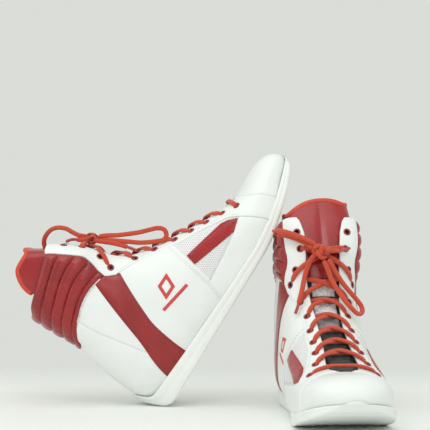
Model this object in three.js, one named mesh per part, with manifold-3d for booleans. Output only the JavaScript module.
// A pair of high boxing boots: the left boot stands flat, and the right boot leans against its
// collar with its heel on the floor and its toe in the air.
// Millimetres, +Z up.  Each boot is drawn in its own frame: X runs from heel to toe, Z is up from
// the tread, and -Y is the outer (lateral) side of the right boot.  The left boot is its mirror.
import * as THREE from 'three';
import Module from 'manifold-3d';
import { mergeVertices } from 'three/addons/utils/BufferGeometryUtils.js';

const wasm = await Module();
wasm.setup();

// ---------------------------------------------------------------- driving dimensions
const GAP = 0.3;                    // clearance between neighbouring pieces
const FACET = 0.08;                 // facets flatter than this are joined
const LEATHER = 2.0;                // thickness of the upper's leather
const STRIPE_PROUD = 1.0;           // the front stripe stands proud of the leather
const STRIPE_SUNK = 0.7;            // and is let into it by this much, down to the mesh
const LINING = 2.3;                 // foam-backed lining
const COLLAR_PAD = 2.0;             // how far the collar stands proud of the leather
const TAPE = 0.5;                   // eyelet tape behind the eyestay
const TAPE_WIDTH = 2.6;
const TONGUE_DEPTH = 6.2;           // the tongue's face lies this far under the leather's face
const TONGUE = 2.8;                 // tongue thickness
const WELT_TUCK = 2.5;              // how far the upper runs down inside the sole's wall
const LACE_RADIUS = 1.1;            // laced stretch, bunched where it passes the eyelets
const LACE_SIDES = 5;
const FREE_LACE_RADIUS = 1.8;       // loose loops and tails
const BARREL_OUTER = 3.3;
const BARREL_INNER = 2.4;
const BARREL_PROUD = 0.5;           // eyelet rim above the leather
const CREASE_Z = 199.5;             // where the tongue's top flap folds, just above the eyestays
const KNOT_SIZE = [6.5, 6, 5];      // half sizes of the bow's knot
const SIDES = { lateral: -1, medial: 1 };

const STANDING = { x: 100.9, turn: -84.6 };                        // left boot: place and heading
const LEANING = { x: -53.6, y: -34.5, z: -9.0, turn: 2.5, pitch: 58.7 };   // right boot
const PAIR_CENTRE = [-20.8, -141.1];     // middle of the pair in plan, which becomes the origin

const COLOURS = {
  white: [0xeef2f0, 0.45], red: [0xa83a3c, 0.35], lace: [0xd65434, 0.8], mesh: [0xe1dee4, 0.85],
  sole: [0xe8ece8, 0.55], lining: [0x2c2c30, 0.95], foam: [0xcfcfcc, 0.9], eyelet: [0x8c2528, 0.4],
};

// ---------------------------------------------------------------- the last
// Sections of the upper's outer face from toe to shaft.  Each one spans from its top or front
// point to its bottom or back point in the XZ plane, bulging sideways by its half width:
// [top x, top z, bottom x, bottom z, half width, centre y, top fullness, bottom fullness, skew]
const LAST = [
  [299, 35, 299, 34, 0, 3, 2.2, 2.2, 0],
  [298.3, 41, 297.5, 31, 13, 3, 2.2, 2.2, 0],
  [294.5, 47, 293, 28, 24, 3, 2.2, 2.4, 0],
  [286.5, 52.3, 285, 24.5, 32, 3, 2.3, 2.8, -0.05],
  [273, 55.2, 272, 20, 38, 3, 2.3, 3.4, -0.1],
  [257, 55, 257, 15.5, 43, 2.5, 2.3, 4, -0.15],
  [238, 54.5, 238, 11, 45, 1.5, 2.35, 5, -0.2],
  [215, 61.5, 217, 8, 46, 0.5, 2.5, 5, -0.3],
  [190, 75.5, 192, 7, 45, 1, 2.4, 4.6, -0.35],
  [166, 90, 165, 7, 44, 2, 2.4, 4.2, -0.35],
  [146, 103, 135, 8, 43, 2, 2.5, 4, -0.3],
  [130, 114.5, 98, 9, 42, 2, 2.8, 3.8, -0.2],
  [124, 121, 60, 9, 41.5, 1.5, 3.1, 3.8, -0.1],
  [119.5, 128, 22, 10, 41, 1.5, 3, 3.4, 0],
  [117, 135, 3, 27, 40.5, 1.5, 2.85, 2.9, 0],
  [115, 142, 2, 58, 40.5, 1.5, 2.75, 2.8, 0],
  [113, 149, 7, 92, 40.5, 1.5, 2.85, 2.6, 0],
  [110.5, 156.5, 13, 120, 40.5, 1, 3.1, 2.6, 0],
  [106.5, 166, 13, 147, 41, 0.5, 4.2, 2.4, 0],
  [101, 178, 13.5, 168, 41, 0, 4.8, 2.4, 0],
  [93, 194, 15, 186, 40.5, 0, 4.6, 2.4, 0],
  [84, 210, 17, 204, 39, 0, 3.6, 2.4, 0],
  [76, 224, 19, 222, 37, 0, 3, 2.4, 0],
];
const LAST_END = LAST.length - 1;
const RINGS = [0.7, 2, 3.3, 5, 6.6, 8.2, 10, 12, 13, 14, 16, 18.5, LAST_END];
const AROUND = 14;

// Throat: half width of the gap between the eyestays, by section
const THROAT = [[6.0, 6], [6.3, 13], [7, 15.5], [8, 13], [9, 12.5], [10, 13], [12, 15.5],
  [14, 17], [18, 17.5], [22, 22]];

// Eyelets in the side view, from the top of the shaft down to the forefoot
const EYELETS = [[97, 184], [105, 167], [106.5, 145.5], [103, 130], [124, 113], [143, 100],
  [163, 87], [180, 77], [196, 68], [213, 58.5], [227.5, 50]];
const LACED_FROM_BOTTOM = [10, 9, 8, 7, 6, 5, 4, 3, 1];    // the third eyelet from the top is free

// ---------------------------------------------------------------- seam lines, side view [x, z]
const SEAMS = {
  collarTop: [[17, 175], [25, 180], [35, 183], [60, 190], [80, 196]],
  collarFront: [[80, 196], [85, 188], [90, 178], [94, 170], [98, 160], [97, 150], [94, 140], [92.5, 131]],
  collarBottom: [[92.5, 131], [88, 133], [80, 135], [70, 136.5], [60, 136], [50, 134], [36, 129.4]],
  heelTop: [[36, 129.4], [30, 127], [20, 120], [15, 113], [-10, 108]],
  heelSeam: [[36, 129.4], [37, 105], [41, 80], [44, 60], [46, 48]],
  stripeTop: [[80, 135], [88, 133], [92.5, 131], [94, 128], [100, 121], [104, 119]],
  stripeBackUpper: [[80, 135], [73, 118], [66, 100], [59.5, 82], [53, 64], [46, 48]],
  stripeBackLower: [[46, 48], [40.5, 34], [36.5, 19], [34, 0]],
  stripeFront: [[104, 119], [95, 102], [86, 85], [80, 70], [74, 55], [71, 35], [69.5, 0]],
  staySide: [[104, 119], [125, 108], [150, 91], [156, 87]],
  stayMesh: [[156, 87], [170, 78], [185, 70], [200, 60], [212, 52], [219, 43]],
  stayFront: [[219, 43], [225, 33], [230, 22], [234, 8], [235, 0]],
  quarterFront: [[156, 87], [145, 33], [138, 14], [135, 0]],
  guardTop: [[145, 33], [203, 39.3], [219, 43]],
  toeCap: [[236, 80], [238, 53.5], [244, 45], [250, 37], [254, 28], [258, 14], [262, 0]],
  sideStripe: [[155.5, 68.5], [180, 62], [203, 55.5], [210, 51], [217, 43.5], [202, 39.5], [152, 56.5]],
  liningFront: [[78, 205], [83, 190], [95, 162], [90.5, 137], [101, 118], [124, 106.5], [149, 89.5],
    [169, 76.5], [184, 68.5], [199, 58.5], [211, 50], [217, 44], [226, 42], [233, 46], [238, 60]],
};
// Tread and sole wall, side view, and the sole's plan outline
const TREAD = [[-3, 34], [-1, 25], [3, 14], [8, 5], [15, 0.5], [22, 0], [200, 0], [215, 1],
  [230, 4], [250, 8.5], [270, 14], [285, 19], [295, 24], [299, 29], [304, 36]];
const WALL_TOP = [[-4, 40], [1, 38], [5, 27], [10, 22], [20, 21], [36, 20], [70, 17.5], [100, 16],
  [150, 13.5], [200, 12], [230, 14.5], [254, 19], [275, 25], [290, 30.5], [300, 35.5], [305, 37]];
const SOLE_OUTLINE = [[-3, 0], [0, -15], [8, -27], [20, -34], [40, -36.5], [80, -37.5], [120, -39.5],
  [160, -44], [200, -46.5], [235, -45.5], [262, -42], [282, -33], [295, -20], [302, -4], [302, 8],
  [296, 24], [284, 36], [264, 45], [238, 48.5], [205, 47.5], [160, 41.5], [120, 36.5], [80, 35.5],
  [40, 36.5], [20, 34], [8, 27], [0, 15]];

// ---------------------------------------------------------------- routes of the loose lace ends
// In the right boot's frame, from the knot outwards.  The left boot's are mirrored with the boot.
const ROUTES = {
  right: {
    knot: [118.5, 0, 163],
    bow_loop_a: [[117, 3, 170], [114, 6, 177], [113, 10, 185], [112.5, 14, 193], [109, 19, 201],
      [103, 24, 206.5], [95, 29, 208.5], [87, 34, 207], [81, 40, 201], [79, 45.5, 191], [82, 49, 181],
      [88, 50, 172.5], [95, 48, 166], [102, 43, 162], [109, 35, 160.5], [115, 24, 160.5], [118.5, 10, 160.5]],
    bow_loop_b: [[124, -2, 158], [129, -4, 152], [135.5, -6, 142], [142.5, -8, 133], [150, -10, 124],
      [158.5, -12, 115.5], [164.5, -13, 109], [166.5, -14, 102.5], [163, -15, 97.5], [157, -16, 97],
      [153, -16, 101.5], [148.5, -15, 107], [141.5, -13, 117], [136, -11, 128], [130.5, -8, 139],
      [126, -6, 147.5], [121.5, -3, 155]],
    lace_tail_a: [[113.5, -6, 169.5], [111, -8, 173], [109, -8, 177], [106.5, -10, 181], [101.5, -11, 185]],
    lace_tail_b: [[119, -7, 158], [122, -9, 151], [125, -10, 144], [127.5, -11, 137], [129.5, -12, 130.5],
      [131, -12, 124], [132.5, -12, 115]],
  },
  left: {
    knot: [118, 4, 165],
    bow_loop_a: [[116, 10, 172], [115, 18, 176.5], [113.5, 26, 180], [111, 34, 183], [107.5, 41, 185],
      [103, 46, 186], [98, 48.5, 186], [93.5, 49, 185], [90.5, 47.5, 183.5], [91.5, 45, 182],
      [95.5, 42, 181.5], [100, 37.5, 180.5], [104, 31, 178.5], [108, 24, 175.5], [112, 17, 171.5],
      [117, 13, 168]],
    bow_loop_b: [[121, -3, 157], [122.5, -6.5, 150], [124.5, -12, 140], [126.5, -18, 131],
      [127.5, -25, 122.5], [128.5, -30.5, 116], [130.5, -34.5, 110], [134.5, -35, 105],
      [139.5, -32, 102.5], [144, -27.5, 103.5], [146, -22.5, 108], [142.5, -17.5, 114],
      [137.5, -12.5, 121.5], [132.5, -8, 129.5], [128, -4, 138.5], [124.5, -1, 148], [121.5, 2, 155.5]],
    lace_tail_a: [[116, 10.5, 161], [116, 15, 155], [117, 19, 146], [119.5, 22, 136],
      [126, 25, 126], [131, 28, 117], [133, 31, 108], [133, 33, 102.5]],
    lace_tail_b: [[117, -4, 165.5], [115.5, -10, 165.5], [113.5, -16, 165.5], [112, -21, 166.5],
      [111, -27, 168]],
  },
};

// ---------------------------------------------------------------- surface of the last
// The section at s, by Catmull-Rom interpolation.  Ahead of the toe the list carries on as its own
// mirror image, so that the toe closes smoothly.
function sectionRow(i) {
  if (i < 0) {
    const [tx, tz, bx, bz, width, ...rest] = LAST[-i];
    return [bx, bz, tx, tz, -width, ...rest];
  }
  if (i > LAST_END) return LAST[LAST_END].map((value, k) => 2 * value - LAST[LAST_END - 1][k]);
  return LAST[i];
}

function section(s) {
  const i = Math.min(Math.max(Math.floor(s), 0), LAST_END - 1);
  const t = s - i;
  const [p0, p1, p2, p3] = [i - 1, i, i + 1, i + 2].map(sectionRow);
  return p1.map((value, k) => 0.5 * (2 * value + (p2[k] - p0[k]) * t
    + (2 * p0[k] - 5 * value + 4 * p2[k] - p3[k]) * t * t
    + (3 * value - p0[k] - 3 * p2[k] + p3[k]) * t * t * t));
}

// Point of the outer face: angle 0 is the top or front line and PI the bottom or back one.
function facePoint(s, angle) {
  const [tx, tz, bx, bz, width, centre, topPower, bottomPower, skew] = section(s);
  const power = 2 / (Math.cos(angle) >= 0 ? topPower : bottomPower);
  const bend = (value) => Math.sign(value) * Math.abs(value) ** power;
  let along = bend(Math.cos(angle));
  along += skew * (1 - along * along);
  return new THREE.Vector3((tx + bx + along * (tx - bx)) / 2, centre + width * bend(Math.sin(angle)),
    (tz + bz + along * (tz - bz)) / 2);
}

function faceNormal(s, angle) {
  const ds = 0.05;
  const da = 0.03;
  const along = facePoint(Math.min(s + ds, LAST_END), angle).sub(facePoint(Math.max(s - ds, 0.1), angle));
  const across = facePoint(s, angle + da).sub(facePoint(s, angle - da));
  return across.cross(along).normalize();
}

// Point at a height above the outer face (below it where the height is negative).
function offsetPoint(s, angle, height) {
  return facePoint(s, angle).addScaledVector(faceNormal(s, angle), height);
}

// The same on the faceted shells that the panels are cut from, so that what touches a panel's facets
// keeps its distance from them.
function shellPoint(s, angle, height) {
  const row = Math.min(Math.max(RINGS.findIndex((ring) => ring >= s) - 1, 0), RINGS.length - 2);
  const across = (angle * AROUND) / (2 * Math.PI);
  const column = Math.floor(across);
  const corner = (r, c) => offsetPoint(RINGS[row + r], ((column + c) * 2 * Math.PI) / AROUND, height);
  const t = (s - RINGS[row]) / (RINGS[row + 1] - RINGS[row]);
  const edge = (r) => corner(r, 0).lerp(corner(r, 1), across - column);
  return edge(0).lerp(edge(1), t);
}

// (s, angle) of the face point that shows at (x, z) in the side view.
function locate(x, z, side) {
  const step = 0.02;
  let best = null;
  for (let s = 0.5; s < LAST_END; s += step) {
    const [tx, tz, bx, bz, , , topPower, , skew] = section(s);
    const [hx, hz] = [(tx - bx) / 2, (tz - bz) / 2];
    const [dx, dz] = [x - (tx + bx) / 2, z - (tz + bz) / 2];
    const miss = Math.abs(hx * dz - hz * dx) / Math.hypot(hx, hz);
    if (best && miss >= best.miss) continue;
    const across = Math.min((dx * hx + dz * hz) / (hx * hx + hz * hz), 1);
    const along = skew ? (1 - Math.sqrt(Math.max(0, 1 - 4 * skew * (across - skew)))) / (2 * skew) : across;
    const angle = Math.acos(Math.min(Math.max(along, 0), 1) ** (topPower / 2));
    best = { s, angle: side * angle, miss };
  }
  return best;
}

function throatHalfWidth(s) {
  const k = Math.max(1, THROAT.findIndex(([station]) => station >= s));
  const [[s0, w0], [s1, w1]] = [THROAT[k - 1], THROAT[k]];
  return w0 + (w1 - w0) * Math.min(Math.max((s - s0) / (s1 - s0), 0), 1);
}

// ---------------------------------------------------------------- solids
function solidFromArrays(positions, indices) {
  const make = (triangles) => new wasm.Manifold(new wasm.Mesh({
    numProp: 3, vertProperties: new Float32Array(positions), triVerts: new Uint32Array(triangles) }));
  const solid = make(indices);
  if (solid.volume() > 0) return solid;
  return make(indices.map((_, k) => indices[k - (k % 3) + [0, 2, 1][k % 3]]));
}

function solidFromGeometry(geometry) {
  geometry.deleteAttribute('normal');
  geometry.deleteAttribute('uv');
  const merged = mergeVertices(geometry, 1e-4);
  return solidFromArrays(Array.from(merged.attributes.position.array), Array.from(merged.index.array));
}

// A cut can leave slivers behind, so a piece is its largest body.
const mainBody = (solid) => solid.decompose().sort((a, b) => b.volume() - a.volume())[0];

function geometryFromSolid(solid) {
  const mesh = mainBody(solid).asOriginal().simplify(FACET).getMesh();
  const geometry = new THREE.BufferGeometry();
  geometry.setAttribute('position', new THREE.BufferAttribute(new Float32Array(mesh.vertProperties), 3));
  geometry.setIndex(new THREE.BufferAttribute(new Uint32Array(mesh.triVerts), 1));
  geometry.computeVertexNormals();
  return geometry;
}

// The whole last, grown or shrunk by a height.
function lastSolid(height) {
  const positions = [];
  const indices = [];
  const put = (point) => positions.push(point.x, point.y, point.z) / 3 - 1;
  const toe = put(facePoint(0, 0).add(new THREE.Vector3(height, 0, 0)));
  const rings = RINGS.map((s) => Array.from({ length: AROUND },
    (_, k) => put(offsetPoint(s, (2 * Math.PI * k) / AROUND, height))));
  const [tx, tz, bx, bz, , centre] = section(LAST_END);
  const top = put(new THREE.Vector3((tx + bx) / 2, centre, (tz + bz) / 2 + height));
  for (let k = 0; k < AROUND; k++) {
    const next = (k + 1) % AROUND;
    indices.push(toe, rings[0][k], rings[0][next]);
    for (let r = 0; r + 1 < rings.length; r++) {
      const [a, b, c, d] = [rings[r][k], rings[r + 1][k], rings[r + 1][next], rings[r][next]];
      indices.push(a, b, c, a, c, d);
    }
    indices.push(top, rings.at(-1)[next], rings.at(-1)[k]);
  }
  return solidFromArrays(positions, indices);
}

const shell = (outer, inner) => lastSolid(outer).subtract(lastSolid(inner));

// ---------------------------------------------------------------- cutting outlines
// Moves a closed outline inwards, so that panels that share a seam line keep a gap.
function inset(outline, distance) {
  const area = outline.reduce((sum, [x, z], k) => {
    const [nx, nz] = outline[(k + 1) % outline.length];
    return sum + x * nz - nx * z;
  }, 0);
  const turn = Math.sign(area) * distance;
  const edgeNormal = ([x0, z0], [x1, z1]) => {
    const length = Math.hypot(x1 - x0, z1 - z0);
    return [(-(z1 - z0) / length) * turn, ((x1 - x0) / length) * turn];
  };
  return outline.map((point, k) => {
    const before = edgeNormal(outline.at(k - 1), point);
    const after = edgeNormal(point, outline[(k + 1) % outline.length]);
    const sum = [before[0] + after[0], before[1] + after[1]];
    const scale = (2 * distance * distance) / Math.max(sum[0] ** 2 + sum[1] ** 2, distance * distance);
    return [point[0] + sum[0] * scale, point[1] + sum[1] * scale];
  });
}

// Side-view outline made into a prism between two y values.
function sidePrism(outline, low = -90, high = 90) {
  const shape = new THREE.Shape(outline.map(([x, z]) => new THREE.Vector2(x, z)));
  const geometry = new THREE.ExtrudeGeometry(shape, { depth: high - low, bevelEnabled: false });
  return solidFromGeometry(geometry.rotateX(Math.PI / 2).translate(0, high, 0));
}

const panelPrism = (outline, side = 0) => sidePrism(inset(outline, GAP / 2),
  side > 0 ? GAP / 2 : -90, side < 0 ? -GAP / 2 : 90);

// Joins seam lines end to start into one outline, dropping repeated points.
function outlineOf(...lines) {
  const points = lines.flat();
  return points.filter(([x, z], k) => {
    const [px, pz] = points.at(k - 1);
    return Math.hypot(x - px, z - pz) > 0.5;
  });
}
const back = (line) => [...line].reverse();

// Beam along the top line that opens the throat.
function throatCutter() {
  const depth = 16;
  const height = 12;
  const stations = THROAT.map(([s]) => s);
  const positions = [];
  for (const s of stations) {
    const ridge = facePoint(s, 0);
    const normal = faceNormal(s, 0);
    const half = throatHalfWidth(s);
    for (const [across, up] of [[-half, -depth], [half, -depth], [half, height], [-half, height]]) {
      positions.push(ridge.x + normal.x * up, ridge.y + across, ridge.z + normal.z * up);
    }
  }
  const indices = [0, 1, 2, 0, 2, 3];
  for (let r = 0; r + 1 < stations.length; r++) {
    for (let k = 0; k < 4; k++) {
      const [a, b] = [4 * r + k, 4 * r + ((k + 1) % 4)];
      indices.push(a, a + 4, b + 4, a, b + 4, b);
    }
  }
  const last = 4 * (stations.length - 1);
  indices.push(last, last + 2, last + 1, last, last + 3, last + 2);
  return solidFromArrays(positions, indices);
}

// ---------------------------------------------------------------- eyelets and laces
const eyeletsOn = (side) => EYELETS.map(([x, z]) => locate(x, z, side));

// Cylinder that stands through the leather at an eyelet.
function eyeletPlug({ s, angle }, radius, low, high) {
  const sides = 6;
  const geometry = new THREE.CylinderGeometry(radius, radius, high - low, sides);
  const up = new THREE.Vector3(0, 1, 0);
  geometry.applyQuaternion(new THREE.Quaternion().setFromUnitVectors(up, faceNormal(s, angle)));
  const middle = shellPoint(s, angle, (low + high) / 2);
  return solidFromGeometry(geometry.translate(middle.x, middle.y, middle.z));
}

// Curve whose stations are its own control points, so that a sweep keeps every one of them.
class StationCurve extends THREE.CatmullRomCurve3 {
  getPointAt(u, target) { return this.getPoint(u, target); }
  getTangentAt(u, target) { return this.getTangent(u, target); }
}

function laceTube(points, radius, sides, stepsPerPoint = 1) {
  const section = new THREE.Shape(Array.from({ length: sides }, (_, k) => {
    const angle = (2 * Math.PI * k) / sides;
    return new THREE.Vector2(radius * Math.cos(angle), radius * Math.sin(angle));
  }));
  const extrudePath = new StationCurve(points, false, 'centripetal');
  const steps = (points.length - 1) * stepsPerPoint;
  return solidFromGeometry(new THREE.ExtrudeGeometry(section, { steps, extrudePath, bevelEnabled: false }));
}

// One half of the lacing, from the bottom bar up to the knot: it crosses the throat from each eyelet
// to the next one up on the other side, above or below the other half where they meet.
function lacedHalf(startSide, over, knot) {
  const atEyelet = 3.0;
  const atEdge = 4.5;
  const crossing = over ? 3.1 : 0.7;
  const stops = LACED_FROM_BOTTOM.map((row, k) => {
    const side = k === 0 || k % 2 ? startSide : -startSide;
    return locate(...EYELETS[row], side);
  });
  const route = [];
  stops.forEach((stop, k) => {
    route.push(shellPoint(stop.s, stop.angle, atEyelet));
    if (k === 0 || k + 1 === stops.length) return;
    const next = stops[k + 1];
    for (const [t, height] of [[0.25, atEdge], [0.5, crossing], [0.75, atEdge]]) {
      const s = stop.s + (next.s - stop.s) * t;
      route.push(shellPoint(s, stop.angle + (next.angle - stop.angle) * t, height));
    }
  });
  const top = stops.at(-1);
  for (const [t, height, pull] of [[0.25, atEdge, 0], [0.6, atEdge, 0.3], [0.85, atEdge, 0.7]]) {
    route.push(shellPoint(top.s, top.angle * (1 - t), height).lerp(knot, pull));
  }
  return route;
}

// The whole laced stretch is one tube: down one side from the knot, across the bottom bar, up the other.
function laceSolid(knotCentre) {
  const knot = new THREE.Vector3(...knotCentre);
  const { s, angle } = locate(...EYELETS[LACED_FROM_BOTTOM[0]], 1);
  const bar = [-0.75, -0.4, 0, 0.4, 0.75].map((t) => shellPoint(s, angle * t, 3.0));
  const route = [...back(lacedHalf(-1, true, knot)), ...bar, ...lacedHalf(1, false, knot)];
  const ball = new THREE.SphereGeometry(1, 8, 5).scale(...KNOT_SIZE).translate(...knotCentre);
  return laceTube(route, LACE_RADIUS, LACE_SIDES).add(solidFromGeometry(ball));
}

// ---------------------------------------------------------------- the boot's pieces
function soleOuter() {
  const plan = new THREE.Shape(SOLE_OUTLINE.map(([x, y]) => new THREE.Vector2(x, y)));
  const height = 60;
  const block = new THREE.ExtrudeGeometry(plan, { depth: height, bevelEnabled: false });
  const profile = outlineOf(TREAD, back(WALL_TOP));
  return solidFromGeometry(block.translate(0, 0, -1)).intersect(sidePrism(profile));
}

// Everything above (or below) the line where the upper meets the sole inside the wall.
function weltPrism(above, margin) {
  const line = WALL_TOP.map(([x, z]) => [x, z - WELT_TUCK + (above ? margin : -margin)]);
  const [first, last] = [line[0][1], line.at(-1)[1]];
  const far = above ? 260 : -20;
  return sidePrism([[-30, far], [-30, first], ...line, [330, last], [330, far]]);
}

function buildSolids(routes) {
  const upperPrism = weltPrism(true, GAP / 2);
  const leather = shell(0, -LEATHER).intersect(upperPrism);
  const cloth = shell(-STRIPE_SUNK - GAP, -LEATHER).intersect(upperPrism);
  const overlay = shell(STRIPE_PROUD, -STRIPE_SUNK).intersect(upperPrism);
  const lining = shell(-LEATHER - GAP, -LEATHER - GAP - LINING);
  const cavity = lastSolid(-LEATHER - 2 * GAP - LINING);
  const throat = throatCutter();
  const S = SEAMS;
  const outlines = {
    eyestay: outlineOf(back(S.collarFront), [[84, 198.5], [93, 198.5], [98, 192.5], [103, 186], [170, 186],
      [236, 90]], S.toeCap, back(S.stayFront), back(S.stayMesh), back(S.staySide), [[100, 121], [94, 128]]),
    quarter: outlineOf(S.staySide, S.quarterFront, back(S.stripeFront)),
    mesh_panel: outlineOf(S.stayMesh, back(S.guardTop), [[156, 87]]),
    mudguard: outlineOf(S.guardTop, S.stayFront, [[135, 0], [138, 14]]),
    front_stripe: S.sideStripe,
    ankle_stripe: outlineOf(S.stripeTop, S.stripeFront, back(S.stripeBackLower), back(S.stripeBackUpper)),
    rear_quarter: outlineOf(S.heelSeam, back(S.stripeBackUpper), S.collarBottom.slice(2)),
    heel_counter: outlineOf(S.heelTop, [[-30, 100], [-30, 0]], back(S.stripeBackLower), back(S.heelSeam)),
    collar: outlineOf(S.collarTop, S.collarFront, S.collarBottom, S.heelTop, [[-30, 110], [-30, 175]]),
    toe_cap: outlineOf(S.toeCap, [[330, 0], [330, 80]]),
    lining: outlineOf([[17, 173], [25, 178], [35, 181], [60, 188], [77, 193.5]], S.liningFront.slice(1),
      [[330, 60], [330, -10], [-30, -10], [-30, 173]]),
  };
  const solids = {
    outsole: [soleOuter().subtract(lastSolid(GAP)), 'sole'],
    midsole: [shell(0, -LEATHER).intersect(weltPrism(false, GAP / 2)), 'foam'],
    insole: [cavity.intersect(sidePrism([[-30, -5], [-30, 26], [20, 20.5], [60, 19.5], [150, 17.5],
      [210, 17], [250, 22], [280, 28], [330, 44], [330, -5]])), 'foam'],
    lining: [lining.intersect(sidePrism(outlines.lining)), 'lining'],
    toe_cap: [leather.intersect(panelPrism(outlines.toe_cap)), 'white'],
    heel_counter: [leather.intersect(panelPrism(outlines.heel_counter)), 'white'],
    collar: [shell(COLLAR_PAD, -LEATHER).intersect(panelPrism(outlines.collar)), 'red'],
  };
  for (const [name, side] of Object.entries(SIDES)) {
    const panel = (source, outline) => source.intersect(panelPrism(outlines[outline], side));
    solids[`${name}_quarter`] = [panel(leather, 'quarter'), 'white'];
    solids[`${name}_rear_quarter`] = [panel(leather, 'rear_quarter'), 'white'];
    solids[`${name}_ankle_stripe`] = [panel(leather, 'ankle_stripe'), 'red'];
    solids[`${name}_mesh_panel`] = [panel(cloth, 'mesh_panel'), 'mesh'];
    solids[`${name}_mudguard`] = [panel(leather, 'mudguard'), 'white'];
    solids[`${name}_front_stripe`] = [panel(overlay, 'front_stripe'), 'red'];
    const stay = panel(leather, 'eyestay').subtract(throat);
    const row = eyeletRow(side, 0);
    solids[`${name}_eyestay`] = [stay.subtract(eyeletRow(side, GAP)), 'white'];
    solids[`${name}_eyelets`] = [row, 'eyelet'];
  }
  Object.assign(solids, tongueSolids());
  solids.lace = [laceSolid(routes.knot), 'lace'];
  return solids;
}

// Eyelet barrels joined by the narrow tape that runs behind the eyestay.  With a clearance it is the
// room that they need in the eyestay.
function eyeletRow(side, clearance) {
  const eyelets = eyeletsOn(side);
  const low = -LEATHER - 2 * GAP - TAPE;
  const bars = eyelets.slice(1).map((eyelet, k) => tapeBar(eyelets[k], eyelet, low + TAPE / 2, clearance));
  const barrels = eyelets.map((eyelet) => {
    const barrel = eyeletPlug(eyelet, BARREL_OUTER + 1.2 * clearance, low - 0.1, BARREL_PROUD + 5 * clearance);
    return clearance ? barrel : barrel.subtract(eyeletPlug(eyelet, BARREL_INNER, low - 1, 1));
  });
  return [...bars, ...barrels].reduce((sum, solid) => sum.add(solid));
}

// Straight bar of tape between two eyelets, flat to the leather.
function tapeBar(from, to, height, clearance) {
  const start = shellPoint(from.s, from.angle, height);
  const end = shellPoint(to.s, to.angle, height);
  const reach = (BARREL_INNER + 0.15) / start.distanceTo(end);
  const middle = start.clone().lerp(end, 0.5);
  const along = end.sub(start).multiplyScalar(1 - 2 * reach);
  const up = faceNormal((from.s + to.s) / 2, (from.angle + to.angle) / 2);
  const across = up.clone().cross(along).normalize();
  up.crossVectors(along, across).normalize();
  const bar = new THREE.BoxGeometry(along.length(), TAPE_WIDTH + 2 * clearance, TAPE + 2 * clearance);
  bar.applyMatrix4(new THREE.Matrix4().makeBasis(along.clone().normalize(), across, up));
  return solidFromGeometry(bar.translate(middle.x, middle.y, middle.z));
}

// The tongue lines the throat and wraps the front of the ankle.  Its top flap is a piece of its own
// that folds forwards at the crease.
function tongueSolids() {
  const arch = [[37, 183], [38, 195], [45, 207], [55, 215], [67, 219], [74, 219], [110, 219]];
  const edge = [[236, 70], [233, 40], [205, 44], [170, 60], [140, 80], [112, 98], [86, 118], [62, 148],
    [44, 172]];
  const body = shell(-TONGUE_DEPTH, -TONGUE_DEPTH - TONGUE)
    .intersect(sidePrism([...edge, ...arch, [236, 219]]));
  const below = sidePrism([[-30, -20], [330, -20], [330, CREASE_Z - GAP / 2], [-30, CREASE_Z - GAP / 2]]);
  const above = sidePrism([[-30, CREASE_Z + GAP / 2], [330, CREASE_Z + GAP / 2], [330, 260], [-30, 260]]);
  return {
    tongue: [body.intersect(below), 'lining'],
    tongue_flap: [body.intersect(above), 'red'],
  };
}

// ---------------------------------------------------------------- the pair
function material(finish) {
  const [color, roughness] = COLOURS[finish];
  return new THREE.MeshStandardMaterial({ color, roughness, metalness: 0 });
}

function mirrored(geometry) {
  geometry.scale(1, -1, 1);
  const index = geometry.index.array;
  for (let k = 0; k < index.length; k += 3) [index[k + 1], index[k + 2]] = [index[k + 2], index[k + 1]];
  geometry.computeVertexNormals();
  return geometry;
}

function addBoot(name, routes, isLeft) {
  const boot = new THREE.Group();
  const solids = buildSolids(routes);
  for (const [cord, route] of Object.entries(routes)) {
    if (cord === 'knot') continue;
    const points = route.map((point) => new THREE.Vector3(...point));
    solids[cord] = [laceTube(points, FREE_LACE_RADIUS, 8), 'lace'];
  }
  for (const [piece, [solid, finish]] of Object.entries(solids)) {
    const geometry = geometryFromSolid(solid);
    const mesh = new THREE.Mesh(isLeft ? mirrored(geometry) : geometry, material(finish));
    mesh.name = `${name}_${piece}`;
    boot.add(mesh);
  }
  return boot;
}

const leftBoot = addBoot('left', ROUTES.left, true);
leftBoot.rotation.set(0, 0, THREE.MathUtils.degToRad(STANDING.turn));
leftBoot.position.set(STANDING.x, 0, 0);

const rightBoot = addBoot('right', ROUTES.right, false);
rightBoot.rotation.order = 'ZYX';
rightBoot.rotation.set(0, THREE.MathUtils.degToRad(-LEANING.pitch), THREE.MathUtils.degToRad(LEANING.turn));
rightBoot.position.set(LEANING.x, LEANING.y, LEANING.z);

const group = new THREE.Group();
group.position.set(-PAIR_CENTRE[0], -PAIR_CENTRE[1], 0);
group.add(leftBoot, rightBoot);

export default group;
